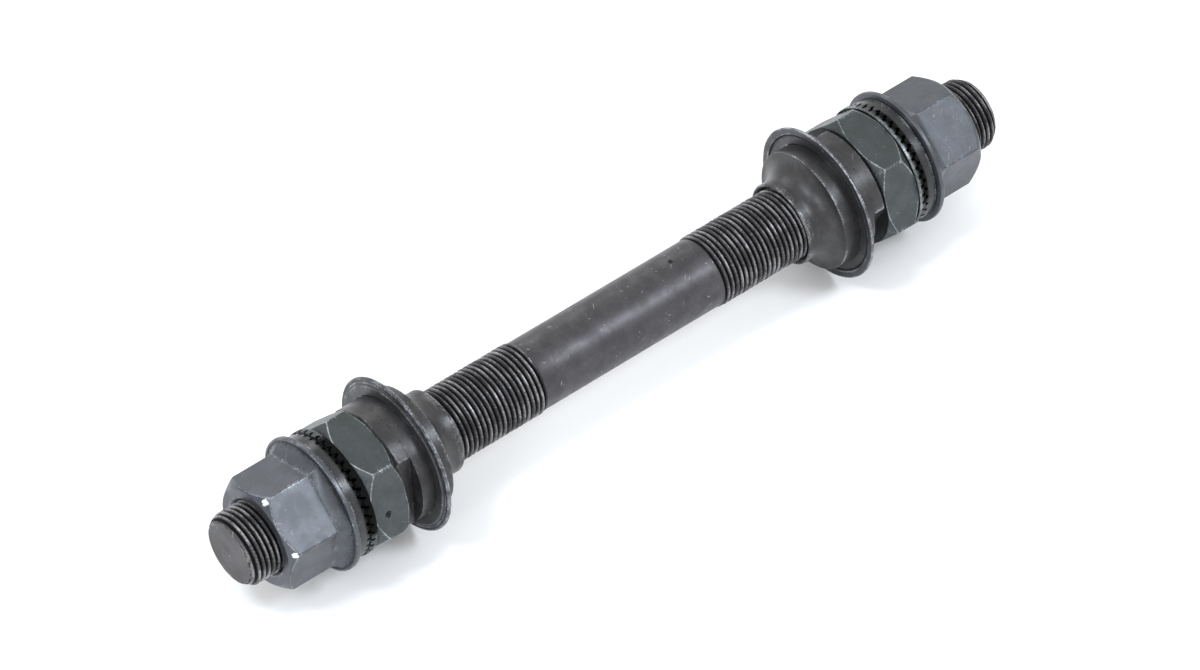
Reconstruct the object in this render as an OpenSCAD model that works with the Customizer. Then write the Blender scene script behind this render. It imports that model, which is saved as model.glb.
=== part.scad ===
// Front hub axle set for a heavy front wheel, at its real size in millimetres.
// The axle lies along Y with its middle at the origin, and +Z is up.
// From each end inwards it carries a flanged axle nut, a washer, a locknut with
// a serrated face, and an adjustable bearing cone with a pressed dust cap.
// Each fitting is drawn along its own Z axis, where z is the distance outwards
// from the middle of the axle, and is then laid on the right or the left side.

/* [Axle] */
// Overall length of the axle
axle_length = 170; // [150:1:210]
// Outside diameter of the threads
thread_d = 14; // [12:0.5:15]
// Diameter of the plain middle, the blank that the threads were rolled on
plain_d = 13.4; // [11:0.1:13.8]
// Length of the plain middle
plain_length = 40; // [20:0.2:60]
// Length of the lead-in chamfer on each end
end_chamfer = 1.5; // [0.5:0.1:2.5]
// Radius of the flat face on each end
end_face_r = 5.9; // [5.5:0.1:6.6]

/* [Placing of the fittings] */
// How far the set of fittings sits off the middle of the axle, towards the right
set_shift = -0.45; // [-1:0.05:1]
// Outer face of the axle nut, from the middle of the set
nut_face = 78.8; // [76:0.1:80]
// Outer face of the locknut's serrated collar
locknut_face = 63.15; // [62:0.05:64]
// Nose of the cone
cone_nose = 39.3; // [38:0.1:41]
// Angle of an axle nut's corner, from +X towards +Z
nut_turn = 18; // [0:1:59]
// Angle of the locknuts' corner, from +X towards +Z
locknut_turn = 48.5; // [0:0.5:59]
// Angle of the left cone's wrench flats, from +X towards +Z
left_cone_turn = 4; // [-90:1:90]
// Angle of the right cone's wrench flats, from +X towards +Z
right_cone_turn = -24; // [-90:1:90]

/* [Axle nut] */
// Width across the flats of the axle nut
nut_af = 19.2; // [17:0.1:21]
// Radius of the chamfer circle on the outer face
nut_face_r = 9.4; // [8.6:0.1:9.5]
// Radius of the flange
flange_r = 13; // [12:0.1:14]
// Thickness of the flange at its rim
flange_rim = 0.9; // [0.6:0.1:1.4]
// Length of the nut, from the flange's underside to the outer face
nut_length = 12.75; // [10:0.05:14]
// Height of the foot, which widens from the hexagon to the flange
foot_rise = 1.95; // [1:0.05:3]

/* [Washer] */
// Radius of the washer
washer_r = 12; // [11:0.1:12.6]
// Thickness of the washer
washer_t = 2.8; // [2:0.1:2.9]
// Radius of the washer's hole
washer_hole_r = 7.2; // [7.1:0.05:7.5]

/* [Locknut] */
// Width across the flats of the locknut
locknut_af = 23.2; // [21:0.1:24]
// Length of the hexagon
locknut_hex = 7.2; // [6:0.1:8]
// Radius of the round collar that carries the locknut's teeth
collar_r = 12.2; // [11.8:0.1:12.6]
// Length of the collar
collar_t = 1.35; // [1.1:0.05:2.2]
// Number of radial teeth on the collar, and on the washer's inner face
teeth = 42; // [24:1:48]
// Depth of the cuts between the teeth
tooth_depth = 0.7; // [0.4:0.05:1]
// Width of a cut at the face, as a share of the distance between two teeth
cut_share = 0.48; // [0.3:0.02:0.8]

/* [Cone and dust cap] */
// Length of the cone
cone_length = 15.25; // [13:0.05:16]
// Radius of the cone's nose
nose_r = 8.05; // [7.8:0.05:8.5]
// Length of the collar at the nose
nose_t = 1.5; // [1:0.1:2]
// Radius of the bearing balls that the race is ground for
ball_r = 3.97; // [3.5:0.01:4.2]
// Radius of the barrel behind the race
barrel_r = 11.7; // [11:0.1:12.4]
// Width across the wrench flats
cone_af = 17.5; // [16.5:0.1:19]
// Length of the wrench flats
flat_length = 3; // [2:0.1:4]
// Radius of the dust cap's rim
cap_r = 15.05; // [14:0.05:16]
// Thickness of the dust cap's sheet
cap_sheet = 0.65; // [0.5:0.05:1]
// Rim's inner face, from the middle of the set
cap_face = 47.9; // [46:0.1:50]
// How far the cap's middle is pressed outwards from its rim
cap_step = 0.25; // [0.1:0.05:0.4]
// Radius of that step
cap_step_r = 13.8; // [13:0.1:14.3]

/* [Hidden] */
$fn = 96;

// Running clearance round the threads, and the gap between two faces that meet
fit = 0.05;
face_gap = 0.05;
// An overshoot for cutting tools
past = 1;
// Taper at the inner end of a thread, where the rolling dies run out
run_out = 0.5;

half = axle_length / 2;
thread_r = thread_d / 2;
plain_r = plain_d / 2;
hole_r = thread_r + fit;

// Stations along the axle, outwards from the middle of the set
nut_seat = nut_face - nut_length;
washer_face = nut_seat - face_gap;
washer_seat = washer_face - washer_t;
collar_seat = locknut_face - collar_t;
locknut_seat = collar_seat - locknut_hex;
cone_back = cone_nose + cone_length;
race_start = cone_nose + nose_t;
flat_start = cone_back - flat_length;

// The race is an arc of the ball's radius. It leaves the nose along the axle,
// and meets the barrel's radius at its outer edge.
ball_centre_r = nose_r + ball_r;
race_end = race_start + sqrt(ball_r * ball_r - pow(ball_centre_r - barrel_r, 2));

// Height of a hexagon's corner above its flats, as a share of the flat's radius
corner = 1 / cos(30);
nut_corner_r = nut_af / 2 * corner;
locknut_corner_r = locknut_af / 2 * corner;

blackened = "#4b4c50";
worn = "#8f949c";
greenish = "#464c4d";
brownish = "#5c554f";
dark = "#3a3b3e";

// Lays a fitting on the right side (+Y) or the left one (-Y), turned about the axle
module on_side(side, turn = 0) {
    translate([0, set_shift, 0])
        rotate([-90 * side, 0, 0])
            rotate([0, 0, -turn * side])
                children();
}

// A threaded hole, from z = low to z = high, with a countersink at each mouth
module threaded_hole(low, high) {
    sink = 0.6;
    translate([0, 0, low - past])
        cylinder(r = hole_r, h = high - low + 2 * past);
    translate([0, 0, low - past])
        cylinder(r1 = hole_r + sink + past, r2 = hole_r, h = sink + past);
    translate([0, 0, high - sink])
        cylinder(r1 = hole_r, r2 = hole_r + sink + past, h = sink + past);
}

// The axle is one steel bar with a thread on each side of its plain middle
module axle() {
    thread_start = plain_length / 2;
    color(blackened)
        rotate([-90, 0, 0])
            rotate_extrude()
                polygon([
                    [0, -half],
                    [end_face_r, -half],
                    [thread_r, -half + end_chamfer],
                    [thread_r, -thread_start - run_out],
                    [plain_r, -thread_start],
                    [plain_r, thread_start],
                    [thread_r, thread_start + run_out],
                    [thread_r, half - end_chamfer],
                    [end_face_r, half],
                    [0, half],
                ]);
}

// A hexagon nut whose foot widens in two slopes to a thin round flange
module axle_nut() {
    chamfer = 1.5;
    edge = 0.2;
    rim_top = nut_seat + flange_rim;
    foot_top = rim_top + foot_rise;
    foot_r = flange_r - 0.5;
    bend = rim_top + foot_rise / 3;
    bend_af = nut_af + 1.9;
    color(worn)
        difference() {
            union() {
                intersection() {
                    translate([0, 0, nut_seat])
                        cylinder(r = nut_corner_r, h = nut_length, $fn = 6);
                    translate([0, 0, nut_seat])
                        rotate_extrude()
                            polygon([
                                [0, 0],
                                [nut_corner_r + past, 0],
                                [nut_corner_r + past, nut_length - chamfer],
                                [nut_corner_r, nut_length - chamfer],
                                [nut_face_r, nut_length],
                                [0, nut_length],
                            ]);
                }
                intersection() {
                    union() {
                        narrowing_hexagon(rim_top, bend, 2 * foot_r, bend_af);
                        narrowing_hexagon(bend, foot_top, bend_af, nut_af);
                    }
                    translate([0, 0, rim_top])
                        cylinder(r1 = foot_r, r2 = nut_corner_r, h = foot_rise);
                }
                rotate_extrude()
                    polygon([
                        [0, nut_seat],
                        [flange_r - edge, nut_seat],
                        [flange_r, nut_seat + edge],
                        [flange_r, rim_top - edge],
                        [flange_r - edge, rim_top],
                        [0, rim_top],
                    ]);
            }
            threaded_hole(nut_seat, nut_face);
        }
}

// A hexagon that narrows from one width across its flats to another
module narrowing_hexagon(low, high, af_low, af_high) {
    translate([0, 0, low])
        cylinder(r1 = af_low / 2 * corner, r2 = af_high / 2 * corner, h = high - low, $fn = 6);
}

// A thick washer with rounded rims, whose inner face is cut into radial teeth
module washer() {
    edge = 0.4;
    color(dark)
        difference() {
            rotate_extrude()
                difference() {
                    translate([washer_hole_r, washer_seat])
                        square([washer_r - washer_hole_r, washer_t]);
                    rounded_corner(washer_r, washer_face, edge, 1);
                    rounded_corner(washer_r, washer_seat, edge, -1);
                }
            tooth_cuts(washer_seat, -1);
        }
}

// What a rounding of radius r takes off an outer corner at (x, y), above or below
module rounded_corner(x, y, r, up) {
    difference() {
        translate([x - r, up > 0 ? y - r : y - past])
            square([r + past, r + past]);
        translate([x - r, y - up * r])
            circle(r = r);
    }
}

// A hexagon locknut with a round collar, whose outer face is cut into radial teeth
module locknut() {
    corner_cut = 1.6;
    inner_chamfer = 1.4;
    outer_chamfer = 2;
    color(greenish)
        difference() {
            union() {
                intersection() {
                    translate([0, 0, locknut_seat])
                        cylinder(r = locknut_corner_r, h = locknut_hex, $fn = 6);
                    rotate_extrude()
                        polygon([
                            [0, locknut_seat],
                            [locknut_corner_r - corner_cut, locknut_seat],
                            [locknut_corner_r, locknut_seat + inner_chamfer],
                            [locknut_corner_r, collar_seat - outer_chamfer],
                            [locknut_corner_r - corner_cut, collar_seat],
                            [0, collar_seat],
                        ]);
                }
                translate([0, 0, collar_seat - past])
                    cylinder(r = locknut_af / 2 - 0.1, h = past);
                translate([0, 0, collar_seat])
                    cylinder(r = collar_r, h = collar_t);
            }
            threaded_hole(locknut_seat, locknut_face);
            tooth_cuts(locknut_face, 1);
        }
}

// The V-shaped cuts that leave the teeth standing, one for each tooth, in a face
// that looks outwards (out = 1) or inwards (out = -1)
module tooth_cuts(face, out) {
    inner_land = 1.6;
    half_cut = cut_share * PI * collar_r / teeth;
    for (i = [0 : teeth - 1])
        rotate([0, 0, (i + 0.5) * 360 / teeth])
            translate([hole_r + inner_land, 0, face])
                rotate([90, 0, 90])
                    linear_extrude(collar_r)
                        polygon([
                            [-half_cut, out * past],
                            [-half_cut, 0],
                            [-half_cut / 2, -out * tooth_depth],
                            [half_cut / 2, -out * tooth_depth],
                            [half_cut, 0],
                            [half_cut, out * past],
                        ]);
}

// The cone: nose collar, ground ball race, barrel, and two wrench flats at its back
module cone() {
    bevel = 0.5;
    nose_bevel = 0.35;
    color(brownish)
        difference() {
            intersection() {
                rotate_extrude()
                    difference() {
                        polygon([
                            [0, cone_nose],
                            [nose_r - nose_bevel, cone_nose],
                            [nose_r, cone_nose + nose_bevel],
                            [nose_r, race_start],
                            [barrel_r, race_end],
                            [barrel_r, cone_back - bevel],
                            [barrel_r - bevel, cone_back],
                            [0, cone_back],
                        ]);
                        translate([ball_centre_r, race_start])
                            circle(r = ball_r);
                    }
                union() {
                    translate([-barrel_r - past, -barrel_r - past, cone_nose - past])
                        cube([
                            2 * (barrel_r + past),
                            2 * (barrel_r + past),
                            flat_start - cone_nose + past,
                        ]);
                    translate([-cone_af / 2, -barrel_r - past, flat_start - past])
                        cube([cone_af, 2 * (barrel_r + past), flat_length + 2 * past]);
                }
            }
            threaded_hole(cone_nose, cone_back);
        }
}

// A pressed steel disc, whose hole grips the barrel and whose middle is pressed
// outwards in a shallow step, with a rolled edge on its outer side
module dust_cap() {
    web_face = cap_face + cap_step;
    edge = 0.4;
    color(blackened)
        rotate_extrude()
            difference() {
                polygon([
                    [barrel_r + fit, web_face],
                    [cap_step_r - cap_step, web_face],
                    [cap_step_r, cap_face],
                    [cap_r, cap_face],
                    [cap_r, cap_face + cap_sheet],
                    [cap_step_r, cap_face + cap_sheet],
                    [cap_step_r - cap_step, web_face + cap_sheet],
                    [barrel_r + fit, web_face + cap_sheet],
                ]);
                rounded_corner(cap_r, cap_face + cap_sheet, edge, 1);
            }
}

module left_cone() { on_side(-1, left_cone_turn) cone(); }
module left_dust_cap() { on_side(-1) dust_cap(); }
module left_locknut() { on_side(-1, locknut_turn) locknut(); }
module left_washer() { on_side(-1) washer(); }
module left_axle_nut() { on_side(-1, nut_turn) axle_nut(); }
module right_cone() { on_side(1, right_cone_turn) cone(); }
module right_dust_cap() { on_side(1) dust_cap(); }
module right_locknut() { on_side(1, locknut_turn) locknut(); }
module right_washer() { on_side(1) washer(); }
module right_axle_nut() { on_side(1, nut_turn) axle_nut(); }

axle();
left_cone();
left_dust_cap();
left_locknut();
left_washer();
left_axle_nut();
right_cone();
right_dust_cap();
right_locknut();
right_washer();
right_axle_nut();
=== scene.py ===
"""Front hub axle: the finished visual model, laid out as an add-on that is run as a script."""

import math
from types import SimpleNamespace

import bmesh
import bpy
import numpy as np
from mathutils import Matrix, Vector


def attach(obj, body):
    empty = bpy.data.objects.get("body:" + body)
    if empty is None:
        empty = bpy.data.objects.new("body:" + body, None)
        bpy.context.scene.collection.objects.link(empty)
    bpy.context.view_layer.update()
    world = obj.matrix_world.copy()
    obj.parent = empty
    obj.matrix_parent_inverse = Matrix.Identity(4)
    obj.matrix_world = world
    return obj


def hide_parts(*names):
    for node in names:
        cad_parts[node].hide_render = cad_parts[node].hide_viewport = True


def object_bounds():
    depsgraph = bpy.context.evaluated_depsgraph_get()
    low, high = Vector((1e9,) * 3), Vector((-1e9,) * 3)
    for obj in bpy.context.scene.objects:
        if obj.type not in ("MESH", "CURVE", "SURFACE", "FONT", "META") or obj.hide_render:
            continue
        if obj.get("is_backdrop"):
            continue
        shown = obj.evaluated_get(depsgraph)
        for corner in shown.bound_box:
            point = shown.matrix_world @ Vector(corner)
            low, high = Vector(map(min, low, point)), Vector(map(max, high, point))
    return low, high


bl_info = {
    "name": "Front hub axle",
    "version": (1, 0, 0),
    "blender": (4, 5, 0),
    "location": "View3D > Sidebar > Axle",
    "description": "Builds the threaded front hub axle with its cones, caps, nuts and washers",
    "category": "Object",
}

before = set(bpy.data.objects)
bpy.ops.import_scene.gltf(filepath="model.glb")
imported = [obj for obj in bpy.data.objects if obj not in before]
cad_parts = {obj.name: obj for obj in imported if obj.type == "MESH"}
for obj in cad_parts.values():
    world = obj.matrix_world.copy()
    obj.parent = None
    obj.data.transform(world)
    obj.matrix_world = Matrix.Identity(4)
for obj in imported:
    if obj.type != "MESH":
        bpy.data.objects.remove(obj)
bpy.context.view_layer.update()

MM = 0.001
FULL = 2 * math.pi
SIDES = {"left": -1, "right": 1}
WELD = 2e-6
SHARP = math.radians(38)
# Half the angle between two corners of a hexagon
CORNER = math.radians(30)


def smooth(part):
    """A smooth step from 0 to 1, of numbers held between them."""
    part = np.clip(part, 0, 1)
    return part * part * (3 - 2 * part)


def grid_quads(rows, cols, close_rows, close_cols):
    """Quads of a grid of rows x cols points, joined over its last row or column if asked."""
    index = np.arange(rows * cols).reshape(rows, cols)
    if close_rows:
        index = np.concatenate([index, index[:1]], axis=0)
    if close_cols:
        index = np.concatenate([index, index[:, :1]], axis=1)
    corners = [index[:-1, :-1], index[1:, :-1], index[1:, 1:], index[:-1, 1:]]
    return np.stack(corners, axis=-1).reshape(-1, 4)


def new_object(name, data):
    """A new object in the scene's own collection."""
    made = bpy.data.objects.new(name, data)
    bpy.context.scene.collection.objects.link(made)
    return made


def build_mesh(name, points, quads, values):
    """A welded, outward facing mesh from points (n x 3), quads and named point values."""
    mesh = bpy.data.meshes.new(name)
    mesh.from_pydata(points.tolist(), [], quads.tolist())
    for key, data in values.items():
        layer = mesh.attributes.new(key, "FLOAT", "POINT")
        layer.data.foreach_set("value", np.ascontiguousarray(data, dtype=np.float32).ravel())
    work = bmesh.new()
    work.from_mesh(mesh)
    bmesh.ops.remove_doubles(work, verts=work.verts, dist=WELD)
    bmesh.ops.dissolve_degenerate(work, edges=work.edges, dist=WELD / 2)
    bmesh.ops.recalc_face_normals(work, faces=work.faces)
    work.to_mesh(mesh)
    work.free()
    mesh.polygons.foreach_set("use_smooth", np.ones(len(mesh.polygons), dtype=bool))
    mesh.set_sharp_from_angle(angle=SHARP)
    mesh.validate()
    mesh.update()
    return new_object(name, mesh)


class Rows:
    """Rows of a polar grid: each adds angle, radius, height, brightening (rubbed edges and painted
    highlights) and painted shade for every column.
    """

    def __init__(self, angle):
        self.angle = np.asarray(angle, dtype=float)
        self.rows = []

    def add(self, radius, height, wear_and_highlight=0.0, painted_shade=0.0, angle=None):
        """One row; each value is a number or an array with one number for each column."""
        angle = self.angle if angle is None else angle
        ones = np.ones_like(self.angle)
        self.rows.append([angle * ones, radius * ones, height * ones, wear_and_highlight * ones, painted_shade * ones])

    def arc(self, centre_r, centre_h, size, start, end, steps, wear_and_highlight=0.0, painted_shade=0.0):
        """A rounding: steps rows on a circle, from the angle start to end in degrees."""
        for turn in np.radians(np.linspace(start, end, steps)):
            self.add(centre_r + size * math.cos(turn), centre_h + size * math.sin(turn), wear_and_highlight, painted_shade)

    def line(self, r0, h0, r1, h1, steps, wear_and_highlight=0.0, painted_shade=0.0):
        """steps rows strictly between two profile points, spaced evenly."""
        for part in np.linspace(0, 1, steps + 2)[1:-1]:
            self.add(r0 + (r1 - r0) * part, h0 + (h1 - h0) * part, wear_and_highlight, painted_shade)

    def build(self, name, side, turn, shift):
        """The ring surface on one side of the axle, its rows closed into a loop."""
        data = np.array(self.rows)
        angle = data[:, 0] + turn
        radius, height = data[:, 1], data[:, 2]
        across = radius * np.cos(angle)
        along = side * height + shift
        upward = radius * np.sin(angle)
        points = np.stack([across, along, upward], axis=-1).reshape(-1, 3) * MM
        quads = grid_quads(len(self.rows), len(self.angle), True, True)
        values = {"wear_and_highlight": data[:, 3], "painted_shade": data[:, 4]}
        return build_mesh(name, points, quads, values)


def corner_start(apothem, rounding):
    """The angle from a flat's middle at which the rounding of the corner begins."""
    return math.atan((apothem - rounding) * math.tan(CORNER) / apothem)


def hexagon(angle, across_flats, rounding):
    """Radii of a hexagon with rounded corners, and how far each place is from a corner.

    On a flat the radius is a / cos(f), with f the angle from the flat's middle. On a corner
    it is D cos(d) + sqrt(q^2 - D^2 sin^2(d)), with q the rounding, D = (a - q) / cos(30) the
    distance of the rounding's centre and d the angle from the corner. A corner is at angle 0.
    """
    apothem = across_flats / 2
    edge = corner_start(apothem, rounding)
    centre = (apothem - rounding) / math.cos(CORNER)
    off_flat = np.mod(angle, 2 * CORNER) - CORNER
    off_corner = np.abs(off_flat) - CORNER
    root = np.sqrt(np.maximum(rounding**2 - (centre * np.sin(off_corner)) ** 2, 0))
    rounded = centre * np.cos(off_corner) + root
    radius = np.where(np.abs(off_flat) > edge, rounded, apothem / np.cos(off_flat))
    return radius, apothem * np.maximum(math.tan(edge) - np.abs(np.tan(off_flat)), 0)


def hexagon_columns(across_flats, rounding, per_flat, per_corner):
    """Angles for a hexagon's columns, closer together towards the corners and round them."""
    edge = corner_start(across_flats / 2, rounding)
    flat = edge * np.sin(np.linspace(-1, 1, per_flat) * math.pi / 2)
    corner = np.linspace(edge, 2 * CORNER - edge, per_corner + 2)[1:-1]
    turns = 2 * CORNER * np.arange(6)[:, None]
    return (np.concatenate([flat, corner])[None, :] + turns + CORNER).ravel()


def finish(piece, body, slot, material, *nodes):
    """Hand one finished piece to the frame: body, material slot (not used), material, nodes it
    replaces.
    """
    piece.data.materials.append(material)
    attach(piece, body)
    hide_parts(*nodes)
    for node in nodes:
        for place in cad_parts[node].material_slots:
            place.material = material


def place(rows, name, label, part, slot, turn=0.0, body=None):
    """Build one side's piece of a part from its rows, and hand it to the frame."""
    piece = rows.build(f"{name}_{label}", SIDES[name], turn, shift())
    finish(piece, body or f"{name}_{part}", slot, material(slot), f"{name}_{part}")


# Shader groups


class Wiring:
    """Short calls for adding and joining nodes in one tree."""

    def __init__(self, tree):
        self.tree = tree

    def node(self, kind, inputs=None, **settings):
        """A new node with its settings, and a value or a link for each input named."""
        made = self.tree.nodes.new(kind)
        for key, value in settings.items():
            setattr(made, key, value)
        for key, value in (inputs or {}).items():
            self.put(made.inputs[key], value)
        return made

    def put(self, socket, value):
        """A link where the value is another node's output, else a fixed value."""
        if hasattr(value, "is_output"):
            self.tree.links.new(value, socket)
        else:
            socket.default_value = value

    def math(self, operation, first, second=0.0, clamp=False):
        inputs = {0: first, 1: second}
        return self.node("ShaderNodeMath", inputs, operation=operation, use_clamp=clamp).outputs[0]

    def add(self, first, second):
        return self.math("ADD", first, second)

    def less(self, first, second, clamp=False):
        return self.math("SUBTRACT", first, second, clamp)

    def times(self, first, second):
        return self.math("MULTIPLY", first, second)

    def ramp(self, value, low, high, to_low=0.0, to_high=1.0):
        """A smooth step from one level to another, between the values low and high."""
        inputs = {"Value": value, "From Min": low, "From Max": high, "To Min": to_low,
                  "To Max": to_high}
        made = self.node("ShaderNodeMapRange", inputs, interpolation_type="SMOOTHSTEP")
        return made.outputs["Result"]

    def mix(self, factor, first, second, blend="MIX"):
        """Two colours mixed, by their places 6 and 7 among the node's inputs."""
        inputs = {"Factor": factor, 6: first, 7: second}
        return self.node("ShaderNodeMix", inputs, data_type="RGBA", blend_type=blend).outputs[2]

    def shade(self, colour, amount):
        """A colour made darker or lighter: amount 0.5 leaves it as it is."""
        level = self.times(amount, 2.0)
        grey = self.node("ShaderNodeCombineColor", {0: level, 1: level, 2: level})
        return self.mix(1.0, colour, grey.outputs["Color"], "MULTIPLY")

    def noise(self, vector, scale, detail=3.0, rough=0.55, stretch=None):
        """Noise from 0 to 1; stretch gives the scale and the rotation of its own frame."""
        if stretch is not None:
            inputs = {"Vector": vector, "Scale": stretch[0], "Rotation": stretch[1]}
            vector = self.node("ShaderNodeMapping", inputs, vector_type="TEXTURE").outputs[0]
        inputs = {"Vector": vector, "Scale": scale, "Detail": detail, "Roughness": rough}
        return self.node("ShaderNodeTexNoise", inputs).outputs["Fac"]


# The kinds of sockets, by how many numbers they hold
KINDS = {1: "NodeSocketFloat", 3: "NodeSocketVector", 4: "NodeSocketColor"}


def new_group(name, inputs, outputs):
    """A new shader node group: its wiring, what it is given and the sockets that it fills.

    Inputs and outputs come with their defaults, and each group is given a Vector as well.
    """
    group = bpy.data.node_groups.new(name, "ShaderNodeTree")
    for way, sockets in {"INPUT": {"Vector": (0, 0, 0), **inputs}, "OUTPUT": outputs}.items():
        for label, value in sockets.items():
            kind = KINDS[np.size(value)]
            socket = group.interface.new_socket(label, in_out=way, socket_type=kind)
            socket.default_value = value
    entry = group.nodes.new("NodeGroupInput")
    leave = group.nodes.new("NodeGroupOutput")
    return Wiring(group), entry.outputs, leave.inputs


def mottle_group():
    """Soft patches and a fine grain, from Object coordinates in metres."""
    inputs = {"Patch Scale": 300.0, "Grain Scale": 3500.0}
    wire, given, leave = new_group("axle_mottle", inputs, {"Patches": 0.0, "Grain": 0.0})
    patches = wire.noise(given["Vector"], given["Patch Scale"], 4.0, 0.6)
    wire.put(leave["Patches"], wire.ramp(patches, 0.34, 0.66))
    wire.put(leave["Grain"], wire.noise(given["Vector"], given["Grain Scale"], 2.0, 0.6))
    return wire.tree


def turned_group():
    """Fine lines left by turning: rings on a face, and rings along a round surface."""
    wire, given, leave = new_group("axle_turned", {"Line Scale": 9000.0}, {"Lines": 0.0})
    axes = wire.node("ShaderNodeSeparateXYZ", {0: given["Vector"]}).outputs
    square = wire.add(wire.times(axes["X"], axes["X"]), wire.times(axes["Z"], axes["Z"]))
    wave = wire.math("SINE", wire.math("ARCTAN2", axes["Z"], axes["X"]))
    inputs = {"X": wire.math("SQRT", square), "Y": axes["Y"], "Z": wire.times(wave, 0.0003)}
    place = wire.node("ShaderNodeCombineXYZ", inputs).outputs[0]
    wire.put(leave["Lines"], wire.noise(place, given["Line Scale"], 3.0, 0.7))
    return wire.tree


def scuff_group():
    """Thin scattered scratches in three directions, as a mask from 0 to 1."""
    wire, given, leave = new_group("axle_scuffs", {"Amount": 0.5}, {"Mask": 0.0})
    place = given["Vector"]
    total = 0.0
    for number, turn in enumerate([(0.4, 0.2, 0.9), (1.3, 0.5, -0.5), (-0.7, 1.1, 2.1)]):
        streak = wire.noise(place, 4200.0 + 700.0 * number, 1.0, 0.4, ((1.0, 16.0, 5.0), turn))
        gate = wire.noise(place, 330.0 + 90.0 * number, 2.0, 0.5)
        part = wire.times(wire.ramp(streak, 0.68, 0.76), wire.ramp(gate, 0.56, 0.66))
        total = wire.math("MAXIMUM", total, part)
    wire.put(leave["Mask"], wire.times(total, given["Amount"]))
    return wire.tree


def spot_group():
    """One small spot with a ragged edge, at a point in Object coordinates in metres; dark marks and
    painted glints both use it.
    """
    inputs = {"Point": (0, 0, 0), "Radius": 0.0004}
    wire, given, leave = new_group("axle_spot", inputs, {"Mask": 0.0})
    ends = {0: given["Vector"], 1: given["Point"]}
    away = wire.node("ShaderNodeVectorMath", ends, operation="DISTANCE").outputs["Value"]
    ragged = wire.less(wire.noise(given["Vector"], 2500.0, 2.0, 0.5), 0.5)
    reach = wire.add(wire.math("DIVIDE", away, given["Radius"]), ragged)
    wire.put(leave["Mask"], wire.ramp(reach, 0.7, 1.1, 1.0, 0.0))
    return wire.tree


METALLIC = 0.7


def steel_group(mottle, turned, scuffs):
    """Blackened steel: base and dark patches, bright rubbed edges with painted highlights, painted
    shade in the recesses.
    """
    wire, given, leave = new_group(
        "axle_steel",
        {
            "Base": (0.2, 0.2, 0.2, 1.0),
            "Patch": (0.15, 0.15, 0.15, 1.0),
            "Bright": (0.6, 0.6, 0.6, 1.0),
            "Painted Shade Colour": (0.01, 0.01, 0.01, 1.0),
            "Wear": 0.0,
            "Soil": 0.0,
            "Patch Scale": 300.0,
            "Line Amount": 0.3,
            "Scuff Amount": 0.5,
            "Plain Roughness": 0.35,
        },
        {"Colour": (0.0, 0.0, 0.0, 1.0), "Roughness": 0.0, "Metallic": 0.0, "Height": 0.0},
    )

    def use(tree, **inputs):
        inputs = {"Vector": given["Vector"], **inputs}
        return wire.node("ShaderNodeGroup", inputs, node_tree=tree).outputs

    soft = use(mottle, **{"Patch Scale": given["Patch Scale"]})
    patches, grain = soft["Patches"], wire.less(soft["Grain"], 0.5)
    lines = wire.times(wire.less(use(turned)["Lines"], 0.5), given["Line Amount"])
    thin = wire.times(use(scuffs, Amount=given["Scuff Amount"])["Mask"], 0.6)
    # Bright edges: rubbed metal together with painted highlights, mixed towards the bright colour
    worn_and_lit = wire.add(wire.add(given["Wear"], grain), wire.times(patches, -0.3))
    bared_and_lit = wire.ramp(worn_and_lit, 0.15, 0.75, 0.0, 0.85)
    colour = wire.mix(patches, given["Base"], given["Patch"])
    colour = wire.mix(bared_and_lit, colour, given["Bright"])
    colour = wire.mix(thin, colour, given["Bright"])
    speck = wire.add(wire.times(grain, 0.9), 0.5)
    colour = wire.mix(0.35, colour, wire.shade(colour, speck))
    # Painted shade: recesses, gaps and the teeth's shaded band are pulled towards the dark shade
    # colour
    painted_shade = wire.ramp(wire.add(given["Soil"], grain), 0.2, 0.8)
    wire.put(leave["Colour"], wire.mix(painted_shade, colour, given["Painted Shade Colour"]))
    rough = wire.add(given["Plain Roughness"], wire.times(grain, 0.25))
    rough = wire.add(rough, wire.times(patches, 0.06))
    rough = wire.add(rough, wire.times(painted_shade, 0.3))
    wire.put(leave["Roughness"], wire.less(rough, wire.times(bared_and_lit, 0.08), True))
    wire.put(leave["Metallic"], wire.add(wire.times(painted_shade, 1 - METALLIC), METALLIC))
    wire.put(leave["Height"], wire.less(wire.add(wire.times(grain, 0.5), lines), thin))
    return wire.tree


# Looks of the steels: base, dark patches and bright edges (rubbed metal and painted highlights),
# each a colour with its alpha, then the strength of the turned lines, that of the scratches, and
# the roughness of plain places
LOOKS = {
    "axle_steel": ((0.071, 0.068, 0.073, 1), (0.052, 0.049, 0.053, 1), (0.36, 0.35, 0.36, 1),
                   0.25, 1.3, 0.4),
    "cone_steel": ((0.056, 0.055, 0.056, 1), (0.038, 0.037, 0.039, 1), (0.32, 0.33, 0.34, 1),
                   0.4, 0.3, 0.36),
    "cap_steel": ((0.06, 0.061, 0.065, 1), (0.045, 0.046, 0.05, 1), (0.4, 0.42, 0.46, 1),
                  0.35, 0.3, 0.33),
    "locknut_steel": ((0.062, 0.072, 0.074, 1), (0.05, 0.057, 0.057, 1), (0.34, 0.36, 0.37, 1),
                      0.12, 0.4, 0.42),
    "washer_steel": ((0.047, 0.048, 0.05, 1), (0.03, 0.031, 0.033, 1), (0.4, 0.41, 0.43, 1),
                     0.3, 0.3, 0.24),
    "nut_steel": ((0.086, 0.092, 0.105, 1), (0.07, 0.075, 0.084, 1), (0.34, 0.36, 0.4, 1),
                  0.1, 0.5, 0.33),
}
LOOK_INPUTS = ("Base", "Patch", "Bright", "Line Amount", "Scuff Amount", "Plain Roughness")
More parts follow.
